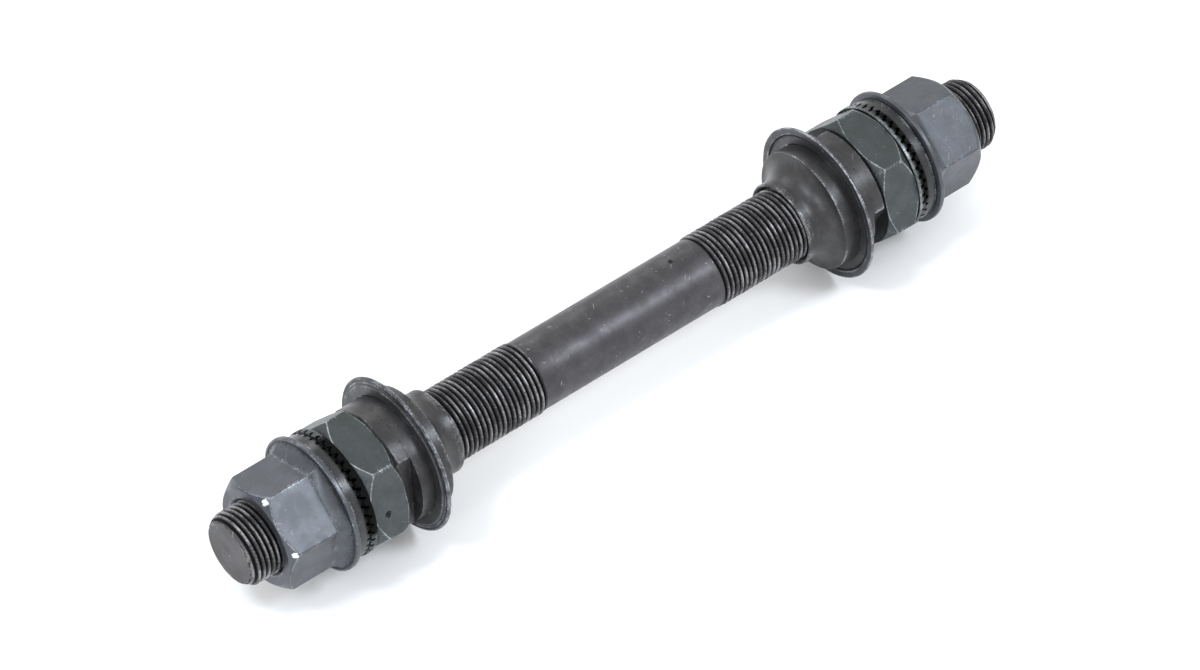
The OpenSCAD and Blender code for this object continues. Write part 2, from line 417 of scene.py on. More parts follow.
# Small marks and painted glints of each steel: point in mm, radius in mm, colour
SPOTS = {
    "axle_steel": [((-0.54, 13.6, 6.68), 0.5, (0.004, 0.004, 0.004, 1.0))],
    "locknut_steel": [((11.59, -59.45, 1.91), 0.7, (0.002, 0.002, 0.002, 1.0))],
    "nut_steel": [
        # Two painted glints on the nut's corner chamfers, near white
        ((2.15, -78.7, 10.3), 0.78, (0.85, 0.86, 0.88, 1.0)),
        ((10.08, -78.45, 3.28), 0.66, (0.85, 0.86, 0.88, 1.0)),
    ],
}
IOR = 1.6
BUMP_STRENGTH = 0.35
BUMP_DISTANCE = 0.00003


def steel_material(name, group, spot):
    """One blackened steel, with the look of its slot set on the group's own sockets."""
    made = bpy.data.materials.new(f"{name}_finish")
    made.use_nodes = True
    made.node_tree.nodes.clear()
    wire = Wiring(made.node_tree)
    place = wire.node("ShaderNodeTexCoord").outputs["Object"]
    inputs = {"Vector": place, **dict(zip(LOOK_INPUTS, LOOKS[name]))}
    # Point attributes: brightening of rubbed edges with painted highlights, and painted shade
    for key, label in {"wear_and_highlight": "Wear", "painted_shade": "Soil"}.items():
        inputs[label] = wire.node("ShaderNodeAttribute", attribute_name=key).outputs["Fac"]
    steel = wire.node("ShaderNodeGroup", inputs, node_tree=group).outputs
    inputs = {"Strength": BUMP_STRENGTH, "Distance": BUMP_DISTANCE, "Height": steel["Height"]}
    bump = wire.node("ShaderNodeBump", inputs).outputs["Normal"]
    colour = steel["Colour"]
    for point, radius, tint in SPOTS.get(name, []):
        inputs = {"Vector": place, "Point": [value * MM for value in point], "Radius": radius * MM}
        mark = wire.node("ShaderNodeGroup", inputs, node_tree=spot)
        colour = wire.mix(mark.outputs["Mask"], colour, tint)
    inputs = {"Base Color": colour, "Roughness": steel["Roughness"],
              "Metallic": steel["Metallic"], "Normal": bump, "IOR": IOR}
    shader = wire.node("ShaderNodeBsdfPrincipled", inputs)
    wire.node("ShaderNodeOutputMaterial", {"Surface": shader.outputs["BSDF"]})
    return made


def material(name):
    """The material of a slot, made with its groups when it is first asked for."""
    made = bpy.data.materials.get(f"{name}_finish")
    if made is not None:
        return made
    group = bpy.data.node_groups.get("axle_steel")
    if group is None:
        group = steel_group(mottle_group(), turned_group(), scuff_group())
        spot_group()
    return steel_material(name, group, bpy.data.node_groups["axle_spot"])


# Settings


def length(name, description, millimetres):
    """A length, given in millimetres and kept in metres."""
    return bpy.props.FloatProperty(name=name, description=description, unit="LENGTH",
                                   default=millimetres * MM, precision=5)


def turned(name, description, degrees):
    """An angle, given in degrees and kept in radians."""
    return bpy.props.FloatProperty(name=name, description=description, subtype="ANGLE",
                                   default=math.radians(degrees))


def sizes(group):
    """The settings of a group as plain numbers: lengths in mm, angles in radians."""
    values = {}
    for key, made in group.bl_rna.properties.items():
        if key not in ("rna_type", "name"):
            value = getattr(group, key)
            values[key] = round(value / MM, 5) if made.unit == "LENGTH" else value
    return SimpleNamespace(**values)


class AxleBarSettings(bpy.types.PropertyGroup):
    """Sizes of the threaded bar."""

    full_length: length("Length", "Length of the bar", 170.0)
    crest_r: length("Crest radius", "Radius on the thread's crests", 7.0)
    root_r: length("Root radius", "Radius in the thread's grooves", 6.36)
    pitch: length("Pitch", "Distance from one thread to the next", 1.0583)
    plain_r: length("Plain radius", "Radius of the plain middle", 6.7)
    plain_half: length("Plain half length", "Half the length of the plain middle", 20.0)
    run_out: length("Run-out", "Length over which a thread fades out", 0.5)
    face_r: length("Face radius", "Radius of the end face inside its chamfer", 5.9)
    chamfer: length("Chamfer", "Length of the chamfer at each end", 1.5)
    columns: bpy.props.IntProperty(name="Columns", description="Steps around", default=72)


class AxleNutSettings(bpy.types.PropertyGroup):
    """Sizes of the two axle nuts."""

    face: length("Face", "Distance of the outer face from the middle of the set", 78.8)
    height: length("Height", "Height of the nut with its flange", 12.75)
    across: length("Across flats", "Width over two flats", 19.2)
    face_r: length("Face radius", "Radius of the outer face inside its chamfer", 9.4)
    chamfer: length("Chamfer", "Length of the chamfer on the corners", 1.5)
    flange_r: length("Flange radius", "Radius of the flange", 13.0)
    rim: length("Rim", "Height of the flange's rim", 0.9)
    foot: length("Foot", "Height of the foot that widens to the flange", 1.95)
    corner_r: length("Corner rounding", "Rounding of the six corners", 0.3)
    turn: turned("Turn", "Angle of one corner from +X towards +Z", 18.0)


class ToothSettings:
    """Sizes of the radial teeth, the same on washers and locknuts."""

    land: length("Land", "Plain land between the hole and the teeth", 1.6)
    teeth: bpy.props.IntProperty(name="Teeth", description="Number of teeth", default=42)
    tooth_depth: length("Tooth depth", "Depth of the cuts between the teeth", 0.7)
    cut_share: bpy.props.FloatProperty(
        name="Cut share", description="Width of a cut as a share of the tooth pitch",
        subtype="FACTOR", default=0.48, min=0, max=1)


class WasherSettings(ToothSettings, bpy.types.PropertyGroup):
    """Sizes of the two washers."""

    face: length("Face", "Distance of the outer face from the middle of the set", 66.0)
    thickness: length("Thickness", "Thickness", 2.8)
    outer_r: length("Outer radius", "Radius of the rim", 12.0)
    inner_r: length("Hole radius", "Radius of the hole", 7.2)
    collar_r: length("Pitch radius", "Radius at which the teeth are laid out", 12.2)
    edge: length("Edge", "Rounding of the rims", 0.4)


class LocknutSettings(ToothSettings, bpy.types.PropertyGroup):
    """Sizes of the two locknuts."""

    face: length("Face", "Distance of the toothed face from the middle of the set", 63.15)
    across: length("Across flats", "Width over two flats", 23.2)
    hex_height: length("Hexagon height", "Height of the hexagon", 7.2)
    corner_cut: length("Corner cut", "How far the chamfers cut into the corners", 1.6)
    inner_chamfer: length("Inner chamfer", "Length of the chamfer at the inner face", 1.4)
    outer_chamfer: length("Outer chamfer", "Length of the chamfer under the collar", 2.0)
    collar_r: length("Collar radius", "Radius of the round collar", 12.2)
    collar_t: length("Collar thickness", "Thickness of the collar", 1.35)
    corner_r: length("Corner rounding", "Rounding of the six corners", 0.45)
    turn: turned("Turn", "Angle of one corner from +X towards +Z", 48.5)


class ConeSettings(bpy.types.PropertyGroup):
    """Sizes of the two bearing cones."""

    nose: length("Nose", "Distance of the nose face from the middle of the set", 39.3)
    height: length("Height", "Length of the cone", 15.25)
    nose_r: length("Nose radius", "Radius of the collar at the nose", 8.05)
    nose_t: length("Nose thickness", "Length of the collar at the nose", 1.5)
    ball_r: length("Ball radius", "Radius of the balls that run in the race", 3.97)
    barrel_r: length("Barrel radius", "Radius of the barrel", 11.7)
    flat_across: length("Across flats", "Width over the wrench flats", 17.5)
    flat_length: length("Flat length", "Length of the wrench flats", 3.0)
    left_turn: turned("Left turn", "Angle of the left cone's flats", 4.0)
    right_turn: turned("Right turn", "Angle of the right cone's flats", -24.0)


class CapSettings(bpy.types.PropertyGroup):
    """Sizes of the two dust caps."""

    face: length("Face", "Distance of the face on the hub side", 47.9)
    sheet: length("Sheet", "Thickness of the sheet", 0.65)
    outer_r: length("Outer radius", "Radius of the rim", 15.05)
    inner_r: length("Hole radius", "Radius of the hole", 11.75)
    step: length("Step", "Height of the pressed step", 0.25)
    step_r: length("Step radius", "Radius of the pressed step", 13.8)


class StageSettings(bpy.types.PropertyGroup):
    """Camera, lights and floor."""

    shift: length("Shift", "How far the set sits off the bar's middle", -0.45)
    lens: bpy.props.FloatProperty(name="Lens", description="Focal length", unit="CAMERA",
                                   default=216.6)
    distance: length("Distance", "Distance of the camera", 1270.0)
    azimuth: turned("Azimuth", "Direction of the camera", 50.5)
    elevation: turned("Elevation", "Height angle of the camera", 46.3)


# Radius of the threaded holes and width of their countersinks, in mm
HOLE_R = 7.05
SINK = 0.6


def bore(rows, low, high):
    """The threaded hole's wall from high to low, with a countersink at each mouth; the wall gets
    painted shade.
    """
    rows.add(HOLE_R + SINK + 0.06, high, 0.5)
    rows.add(HOLE_R + SINK, high - 0.02, 0.6)
    rows.add(HOLE_R, high - SINK, 0.0, 0.4)
    rows.line(HOLE_R, high - SINK, HOLE_R, low + SINK, 4, 0.0, 0.6)
    rows.add(HOLE_R, low + SINK, 0.0, 0.4)
    rows.add(HOLE_R + SINK, low + 0.02, 0.2)
    rows.add(HOLE_R + SINK + 0.06, low, 0.2)


def shift():
    """How far the set of parts sits off the middle of the bar."""
    return sizes(bpy.context.scene.axle_stage).shift


class AXLE_OT_bar(bpy.types.Operator):
    """Build the bar: helical threads on both sides of the plain middle, and chamfered ends"""

    bl_idname = "axle.bar"
    bl_label = "Threaded bar"

    def thread(self, size, low, high, outward):
        """One threaded stretch as a strip that winds round the bar.

        A point with winding number v and angle t is at y = pitch (v - t / 2 pi), with the
        radius read from the thread's profile at the fraction of v, held under the end
        chamfer and faded into the plain radius at the inner end. Rows beyond an end gather on
        its ring, so that the seam at t = 2 pi falls on the points one winding further.
        """
        part = np.array([0.0, 0.075, 0.11, 0.375, 0.44, 0.56, 0.625, 0.89, 0.925])
        depth = np.array([0.0, 0.0, 0.06, 0.94, 1.0, 1.0, 0.94, 0.06, 0.0])
        worn_and_lit = np.array([0.55, 0.72, 0.68, 0.1, 0.0, 0.0, 0.1, 0.68, 0.72])
        first = math.floor(low / size.pitch) - 1
        last = math.ceil(high / size.pitch) + 2
        winding = (np.arange(first, last)[:, None] + part[None, :]).ravel()
        depth = np.tile(depth, last - first)[:, None]
        worn_and_lit = np.tile(worn_and_lit, last - first)[:, None]
        angle = np.linspace(0, FULL, size.columns + 1)[None, :]
        along = size.pitch * (winding[:, None] - angle / FULL)
        free = (along > low) & (along < high)
        along = np.clip(along, low, high)
        inner, outer = (low, high) if outward > 0 else (high, low)
        start = smooth(np.abs(along - inner) / size.run_out)
        left = np.abs(outer - along)
        slope = (size.crest_r - size.face_r - 0.07) / size.chamfer
        limit = np.minimum(size.crest_r, size.face_r + 0.07 + slope * left)
        limit = np.minimum(limit, size.face_r + left * 2)
        ripple = np.sin(along * 1.7 + 2 * angle) * np.sin(3 * angle - along * 0.61)
        crest = size.crest_r - 0.02 * (1 + ripple) * (1 - depth)
        cut = crest + (size.root_r - crest) * depth
        radius = size.plain_r + (cut - size.plain_r) * start
        radius = np.minimum(radius, limit)
        at_start = np.abs(along - inner) < 1e-9
        radius = np.where(at_start, size.plain_r, radius)
        radius = np.where(~free & ~at_start, size.face_r, radius)
        # Crests are brightened as rubbed metal with painted highlights; the grooves get painted
        # shade
        worn_and_lit = worn_and_lit * start * (0.75 + 0.35 * ripple)
        painted_shade = 0.95 * depth * start
        turn = np.broadcast_to(angle, radius.shape)
        return self.points(turn, radius, along), (worn_and_lit, painted_shade), radius.shape

    def points(self, angle, radius, along):
        """Points from angle, radius and place along the bar, in metres."""
        place = [radius * np.cos(angle), along, radius * np.sin(angle)]
        return np.stack(place, axis=-1).reshape(-1, 3) * MM

    def strip(self, size, radii, places, wear_and_highlight):
        """A stretch of plain rings: a radius, a place and wear for each ring."""
        angle = np.tile(np.linspace(0, FULL, size.columns + 1), (len(radii), 1))
        radius, along, worn_and_lit = (np.array(each, dtype=float)[:, None] + 0 * angle
                               for each in (radii, places, wear_and_highlight))
        return self.points(angle, radius, along), (worn_and_lit, 0 * worn_and_lit), radius.shape

    def execute(self, context):
        size = sizes(context.scene.axle_bar)
        half = size.full_length / 2
        inner_low, inner_high = -size.plain_half, size.plain_half
        middle = np.linspace(inner_low, inner_high, 28)
        face = [0.0, 1.2, 2.6, 4.2, 5.2, 5.75, size.face_r]
        face_wear = [0.0, 0.0, 0.0, 0.0, 0.05, 0.4, 0.6]
        parts = [
            self.strip(size, face, [-half] * len(face), face_wear),
            self.thread(size, -half, inner_low, -1),
            self.strip(size, [size.plain_r] * len(middle), middle, [0.0] * len(middle)),
            self.thread(size, inner_high, half, 1),
            self.strip(size, face[::-1], [half] * len(face), face_wear[::-1]),
        ]
        quads, count = [], 0
        for _, _, (rows, cols) in parts:
            quads.append(grid_quads(rows, cols, False, False) + count)
            count += rows * cols
        points = np.concatenate([part[0] for part in parts])
        wear_and_highlight, painted_shade = (np.concatenate([part[1][turn].ravel() for part in parts]) for turn in (0, 1))
        values = {"wear_and_highlight": wear_and_highlight, "painted_shade": painted_shade}
        piece = build_mesh("axle_bar", points, np.concatenate(quads), values)
        finish(piece, "axle_set", "axle_steel", material("axle_steel"), "axle")
        return {"FINISHED"}


class AXLE_OT_nuts(bpy.types.Operator):
    """Build the two axle nuts: chamfered hexagons whose foot sweeps out to a round flange"""

    bl_idname = "axle.nuts"
    bl_label = "Axle nuts"

    def execute(self, context):
        """Each column climbs the flange rim, the hollow foot u = rim + foot p^1.9, r = wide +
        (hexagon - wide) p, which meets every flat in a straight line, then the flat up
        to the chamfer's edge at u = face - chamfer (r - i) / (corner - i), i being the radius
        inside the chamfer, then chamfer, face and bore; each column has edges of its own."""
        size = sizes(context.scene.axle_nuts)
        inside, flange, face = size.face_r, size.flange_r, size.face
        angle = hexagon_columns(size.across, size.corner_r, 17, 5)
        flat, gap = hexagon(angle, size.across, size.corner_r)
        corner = size.across / 2 / math.cos(CORNER)
        seat = face - size.height
        rim = seat + size.rim
        wide = flange - 0.5
        edge = np.exp(-((gap / 0.22) ** 2))
        slope = size.chamfer / (corner - inside)

        def top(radius):
            return face - slope * np.maximum(radius - inside, 0)

        rows = Rows(angle)
        # Painted shade: a little on the flange's lower rounding, more in the hollow foot, light on
        # the chamfer; the rim's rounding and the flats' edges are brightened as rubbed edges with
        # painted highlights
        rows.line(HOLE_R + SINK, seat, flange - 0.2, seat, 2)
        rows.arc(flange - 0.2, seat + 0.2, 0.2, -90, 0, 4, 0.0, 0.15)
        rows.add(flange, seat + 0.3, 0.15)
        rows.add(flange, rim - 0.3, 0.15)
        rows.arc(flange - 0.2, rim - 0.2, 0.2, 0, 90, 4, 0.35)
        rows.add(flange - 0.32, rim + 0.02, 0.1)
        for part in np.linspace(0, 1, 12):
            radius = wide + (flat + 0.02 - wide) * part
            rows.add(radius, rim + 0.04 + size.foot * part**1.9, 0.4 * part**6, 0.55 * (1 - part))
        foot = rim + 0.04 + size.foot
        rows.add(flat, foot + 0.05, 0.35)
        ridge = top(flat) - 0.12
        for part in [0.06, 0.3, 0.6, 0.85, 0.95]:
            rows.add(flat, foot + (ridge - foot) * part, 0.35 * edge)
        rows.add(flat, ridge, 0.4)
        rows.add(flat - 0.025, top(flat - 0.025) - 0.035, 0.55)
        rows.add(flat - 0.1, top(flat - 0.1), 0.4)
        for part in [0.12, 0.5, 0.88]:
            radius = flat - 0.1 - (flat - 0.1 - inside) * part
            rows.add(radius, top(radius), 0.05, 0.25)
        rows.add(inside, face, 0.3)
        rows.add(inside - 0.25, face, 0.15)
        rows.line(inside - 0.25, face, HOLE_R + SINK + 0.3, face, 3)
        bore(rows, seat, face)
        for name in SIDES:
            place(rows, name, "flange_nut", "axle_nut", "nut_steel", size.turn)
        return {"FINISHED"}


# Middle of the band of painted shade across the teeth, as an angle round the axle
SHADE_BAND_MIDDLE = math.radians(50)


class Teeth:
    """Columns and depths of a face cut into radial teeth, in one bundle for each tooth.

    On a plain row the columns stand at fixed angles. On a toothed row they stand at
    asin(w / r), with w the distance from the cut's middle, so that each cut keeps its width.
    The cut's depth falls from 0 at w = 1.05 h to full at w = 0.44 h, h being half its width.
    Painted shade on the lands is a smooth step of cos(t - t0), from 0 at 0.5 to 1 at 0.75, with t0
    the middle of the band where the teeth lie in shade.
    """

    SHARE = np.array([-1.05, -0.95, -0.54, -0.44, 0.0, 0.44, 0.54, 0.95, 1.05])
    DROP = np.array([0.0, 0.09, 0.93, 1.0, 1.0, 1.0, 0.93, 0.09, 0.0])
    LIP = np.array([0.9, 0.9, 0.1, 0.0, 0.0, 0.0, 0.1, 0.9, 0.9])

    def __init__(self, size, margin, turn):
        self.sector = FULL / size.teeth
        self.margin = margin
        self.half_cut = size.cut_share / 2 * FULL * size.collar_r / size.teeth
        self.starts = (np.arange(size.teeth)[:, None] + 0.5) * self.sector
        inner = np.linspace(margin[-1], -margin[-1], 11)[1:-1]
        fixed = np.concatenate([margin, inner, -margin[:0:-1]])
        self.still = (self.starts + fixed[None, :]).ravel()
        self.cut = self.spread(size, self.DROP, 0.0)
        # Painted shade: a band across the teeth, darkest at its middle angle
        self.shade_band = smooth((np.cos(self.still + turn - SHADE_BAND_MIDDLE) - 0.5) / 0.25)
        self.lip = self.spread(size, self.LIP, 0.45) * (1 - self.shade_band)

    def spread(self, size, inner, beside):
        """One value for each column: those of the cut, and one for the margins beside it."""
        count = len(self.margin)
        bundle = np.concatenate([np.full(count, beside), inner, np.full(count - 1, beside)])
        return np.tile(bundle, size.teeth)

    def at(self, radius):
        """The columns' angles on a toothed row of this radius."""
        reach = np.arcsin(self.SHARE * self.half_cut / radius)
        side = np.linspace(-self.sector / 2, reach[0], len(self.margin) + 1)[:-1]
        bundle = np.concatenate([side, reach, -side[:0:-1]])
        return (self.starts + bundle[None, :]).ravel()


class AXLE_OT_washers(bpy.types.Operator):
    """Build the two thick washers, whose inner faces are cut into radial teeth"""

    bl_idname = "axle.washers"
    bl_label = "Washers"

    def execute(self, context):
        """A turned ring with two rounded rims; each toothed row sinks by the cut's depth."""
        size = sizes(context.scene.axle_washers)
        hole, outer, edge, face = size.inner_r, size.outer_r, size.edge, size.face
        seat = face - size.thickness
        teeth = Teeth(size, np.radians([-30.0, -24.0, -17.0]) / 7, 0)
        depth = teeth.cut * size.tooth_depth
        # Painted shade in the cuts between the teeth and in the shaded band
        painted_shade = np.maximum(teeth.cut, teeth.shade_band)
        rim = outer - edge
        inner = HOLE_R + size.land
        rows = Rows(teeth.still)
        rows.add(hole + 0.2, seat)
        rows.add(inner - 0.3, seat)
        rows.add(inner - 0.02, seat, 0.3, 0.0, teeth.at(inner - 0.02))
        for radius in np.linspace(inner, rim, 5):
            rows.add(radius, seat + depth, teeth.lip * 0.7, teeth.cut, teeth.at(radius))
        for turn in np.radians(np.linspace(-75, 0, 6)):
            radius = rim + edge * math.cos(turn)
            height = np.maximum(seat + edge * (1 + math.sin(turn)), seat + depth)
            rows.add(radius, height, teeth.lip * 0.5, painted_shade, teeth.at(radius))
        rows.add(outer, seat + size.tooth_depth + 0.03, 0.2 * (1 - teeth.shade_band),
                 0.6 * painted_shade, teeth.at(outer))
        rows.line(outer, seat + size.tooth_depth + 0.2, outer, face - edge, 3, 0.1)
        # The outer rim's rounding is brightened as rubbed edge with painted highlight; its last
        # part, beside the nut's flange, gets painted shade
        rows.arc(rim, face - edge, edge, 0, 60, 5, 0.55)
        rows.arc(rim, face - edge, edge, 75, 90, 2, 0.0, 0.2)
        rows.line(rim, face, hole + 0.2, face, 2)
        rows.add(hole + 0.2, face)
        rows.add(hole, face - 0.2)
        rows.line(hole, face - 0.2, hole, seat + 0.2, 2)
        rows.add(hole, seat + 0.2)
        for name in SIDES:
            place(rows, name, "thick_washer", "washer", "washer_steel")
        return {"FINISHED"}


class AXLE_OT_locknuts(bpy.types.Operator):
    """Build the two locknuts: chamfered hexagons with a round collar cut into radial teeth"""

    bl_idname = "axle.locknuts"
    bl_label = "Locknuts"

    def execute(self, context):
        """The chamfers meet the flats at u = seat + c (r - i) / k, with r the hexagon's radius
        in a column, i the radius inside the chamfer, k its reach and c its length."""
        size = sizes(context.scene.axle_locknuts)
        wide, face = size.collar_r, size.face
        apothem = size.across / 2
        corner = apothem / math.cos(CORNER)
        seat = face - size.collar_t - size.hex_height
        shelf = face - size.collar_t
        inside = corner - size.corner_cut
        teeth = Teeth(size, np.radians([-30.0, -28.2, -26.3, -24.3, -21.5]) / 7, size.turn)
        depth = teeth.cut * size.tooth_depth
        # Painted shade in the cuts between the teeth and in the shaded band
        painted_shade = np.maximum(teeth.cut, teeth.shade_band)
        flat, gap = hexagon(teeth.still, size.across, size.corner_r)
        edge = np.exp(-((gap / 0.25) ** 2))
        low = seat + size.inner_chamfer * np.maximum(flat - inside, 0) / size.corner_cut
        high = shelf - size.outer_chamfer * np.maximum(flat - inside, 0) / size.corner_cut
        ring = np.minimum(inside, flat)
        rows = Rows(teeth.still)
        rows.line(HOLE_R + SINK, seat, apothem - 0.6, seat, 3)
        # Painted shade at the foot of the inner chamfer
        rows.add(ring - 0.15, seat, 0.0, 0.5)
        rows.add(ring - 0.02, seat + 0.03, 0.35)
        for part in [0.15, 0.5, 0.85]:
            radius = ring + (flat - ring) * part
            rows.add(radius, seat + (low - seat) * part + 0.03, 0.1 + 0.2 * edge)
        # The chamfers' edges are brightened: rubbed edges with painted highlights
        rows.add(flat - 0.04, low + 0.02, 0.65)
        rows.add(flat, low + 0.13, 0.55)
        for part in [0.03, 0.2, 0.5, 0.8, 0.97]:
            rows.add(flat, low + 0.13 + (high - low - 0.26) * part, 0.4 * edge)
        rows.add(flat, high - 0.13, 0.65)
        rows.add(flat - 0.04, high - 0.02, 0.75)
        # Painted shade grows over the outer chamfer towards the collar
        for part in [0.15, 0.5, 0.85]:
            radius = flat + (ring - flat) * part
            rows.add(radius - 0.03, high + (shelf - high) * part, 0.1, 0.5 * part)
        # Painted shade on the shelf under the collar, on the collar's rim and in its teeth; the
        # teeth's lips are brightened
        rows.add(ring - 0.03, shelf, 0.0, 0.8)
        rows.add(wide - 0.25, shelf, 0.0, 0.8)
        collar = len(rows.rows)
        rows.arc(wide - 0.12, shelf + 0.12, 0.12, -90, 0, 3, 0.35)
        rows.add(wide, shelf + 0.3, 0.1)
        brim = face - 0.15
        rim = teeth.at(wide)
        top = np.minimum(brim, face - depth)
        rows.add(wide, shelf + 0.45, 0.1, 0.2, rim)
        rows.add(wide, top - 0.05, 0.3 * teeth.lip, 0.2 + 0.7 * painted_shade, rim)
        rows.add(wide - 0.05, top + 0.08 * (1 - teeth.cut), 0.6 * teeth.lip,
                 0.2 + 0.7 * painted_shade, rim)
        rows.add(wide - 0.2, face - depth, 0.6 * teeth.lip, 0.9 * painted_shade,
                 teeth.at(wide - 0.2))
        inner = HOLE_R + size.land
        for radius in np.linspace(wide - 0.6, inner, 5):
            rows.add(radius, face - depth, teeth.lip * 0.6, teeth.cut, teeth.at(radius))
        rows.add(inner - 0.02, face, 0.3, 0.0, teeth.at(inner - 0.02))
        rows.add(inner - 0.3, face, 0.1)
        bore(rows, seat, face)
        # Lit and shaded copies of one collar: the right locknut's collar gets painted highlight,
        # the left one's the band of painted shade
        kept = [(row[3], row[4]) for row in rows.rows[collar : collar + 5]]
        for name, side in SIDES.items():
            for row, (wear_and_highlight, kept_shade) in zip(rows.rows[collar : collar + 5], kept):
                row[3] = np.maximum(wear_and_highlight, 0.5) if side > 0 else wear_and_highlight
                row[4] = kept_shade if side > 0 else np.maximum(kept_shade, teeth.shade_band)
            place(rows, name, "toothed_locknut", "locknut", "locknut_steel", size.turn, "axle_set")
        return {"FINISHED"}


class AXLE_OT_cones(bpy.types.Operator):
    """Build the two bearing cones: nose collar, ground ball race, barrel and wrench flats"""

    bl_idname = "axle.cones"
    bl_label = "Bearing cones"

    def execute(self, context):
        """The race is the arc r = c - b cos(a), u = s + b sin(a) of the ball's radius b. At
        the back each radius is held under flat / cos(f), with f the angle from a flat."""
        size = sizes(context.scene.axle_cones)
        barrel, collar, nose = size.barrel_r, size.nose_r, size.nose
        back = nose + size.height
        start = nose + size.nose_t
        centre = collar + size.ball_r
        last = math.acos((centre - barrel + 0.12) / size.ball_r)
        shoulder = back - size.flat_length
        half = size.flat_across / 2
        reach = math.acos(half / barrel)
        marks = np.array([-0.02, -0.006, 0.0, 0.012])
        bends = [reach, FULL / 2 - reach, FULL / 2 + reach, FULL - reach]
        extra = np.mod(np.add.outer(bends, marks).ravel(), FULL)
        even = np.linspace(0, FULL, 120, endpoint=False)
        angle = np.unique(np.round(np.concatenate([even, extra]), 6))
        chord = half / np.maximum(np.abs(np.cos(angle)), 0.05)
        beside = np.exp(-((np.abs(chord - barrel) / 0.35) ** 2))

        rows = Rows(angle)
        # The nose collar's rounding is brightened: rubbed edge with painted highlight
        rows.line(HOLE_R + SINK, nose, collar - 0.35, nose, 1, 0.1)
        rows.arc(collar - 0.35, nose + 0.35, 0.35, -90, 0, 6, 0.45)
        rows.line(collar, nose + 0.35, collar, start, 2, 0.3)
        # The race's first row, in the corner by the nose collar, gets painted shade
        for turn in np.linspace(0, last, 22):
            radius = centre - size.ball_r * math.cos(turn)
            height = start + size.ball_r * math.sin(turn)
            rows.add(radius, height, 0.0, 0.25 if turn < 0.1 else 0.0)
        tip = start + size.ball_r * math.sin(last)
        rows.add(barrel - 0.03, tip + 0.05, 0.55)
        rows.add(barrel, tip + 0.16, 0.4)
        rows.line(barrel, tip + 0.16, barrel, shoulder - 0.1, 8)
        rows.add(barrel, shoulder - 0.06, 0.3 * (chord < barrel))
        # The flats' edges are brightened; the step down to the flats gets painted shade
        under = np.minimum(chord, barrel)
        rows.add(np.minimum(barrel, under + 0.5), shoulder, 0.2)
        rows.add(np.minimum(under + 0.05, barrel), shoulder, 0.0, 0.5)
        rows.add(under, shoulder + 0.06, 0.0, 0.4)
        for part in [0.15, 0.5, 0.85]:
            rows.add(under, shoulder + (back - 0.5 - shoulder) * part, 0.6 * beside)
        rows.add(under, back - 0.5, 0.35)
        rows.add(np.minimum(under, barrel - 0.25), back - 0.25, 0.3)
        rows.add(np.minimum(under - 0.03, barrel - 0.5), back, 0.5)
        rows.line(barrel - 3.2, back, HOLE_R + SINK, back, 1)
        bore(rows, nose, back)
        for name, side in SIDES.items():
            turn = size.left_turn if side < 0 else size.right_turn
            place(rows, name, "ground_cone", "cone", "cone_steel", turn)
        return {"FINISHED"}


class AXLE_OT_caps(bpy.types.Operator):
    """Build the two pressed dust caps: flat discs with a shallow step and a rolled edge"""

    bl_idname = "axle.caps"
    bl_label = "Dust caps"

    def execute(self, context):
        """A turned sheet profile: web, shallow step, rim with a rounding on its outer side."""
        size = sizes(context.scene.axle_caps)
        web = size.face + size.step
        back = size.face + size.sheet
        top = web + size.sheet
        hole, step, rim = size.inner_r, size.step_r, size.outer_r
        slope = step - size.step
        rows = Rows(np.linspace(0, FULL, 144, endpoint=False))
        rows.add(hole, web + 0.05, 0.3)
        rows.add(hole + 0.05, web, 0.4)
        # Painted shade: light on the web, strong in the pressed step
        rows.line(hole + 0.05, web, slope - 0.1, web, 3, 0.0, 0.15)
        rows.add(slope - 0.1, web, 0.0, 0.6)
        rows.add(slope + 0.05, web - 0.05, 0.0, 0.7)
        rows.add(step - 0.05, size.face + 0.03, 0.6)
        rows.add(step + 0.08, size.face, 0.5)
        rows.line(step + 0.08, size.face, rim - 0.15, size.face, 2)
        # The rim's roundings are brightened: rubbed edges with painted highlights; the back face
        # gets painted shade
        rows.arc(rim - 0.12, size.face + 0.12, 0.12, -90, 0, 4, 0.6)
        rows.arc(rim - 0.4, back - 0.4, 0.4, 0, 90, 7, 0.45)
        rows.add(rim - 0.5, back, 0.0, 0.5)
        rows.line(rim - 0.6, back, step + 0.05, back, 2, 0.5)
        rows.add(step + 0.05, back, 0.0, 0.4)
        rows.add(slope, top, 0.4)
        rows.line(slope, top, hole, top, 3)
        rows.add(hole + 0.05, top, 0.4)
        rows.add(hole, top - 0.05, 0.3)
        for name in SIDES:
            place(rows, name, "pressed_cap", "dust_cap", "cap_steel")
        return {"FINISHED"}


FLOOR_GAP = 0.0002
# What the camera looks at, and how far it is moved right and up in the picture, in metres
AIM = (0, -0.0033, 0)
AIM_OFFSET = (0.000318, -0.000249)
COOL = (0.86, 0.93, 1.0)
# Soft lights: direction, distance, width, height in metres, power in watts, colour
LIGHTS = {
    "key": ((0.55, 0.35, 0.75), 1.2, 0.3, 0.3, 5.6, COOL),
    "front": ((-0.03, -0.5, 0.87), 1.2, 0.25, 0.25, 5, COOL),
    "low": ((0.36, -0.79, 0.49), 1.2, 0.2, 0.2, 2.2, COOL),
    "back": ((-1.0, 0.2, 0.7), 1.4, 0.8, 0.4, 3, (1, 1, 1)),
}


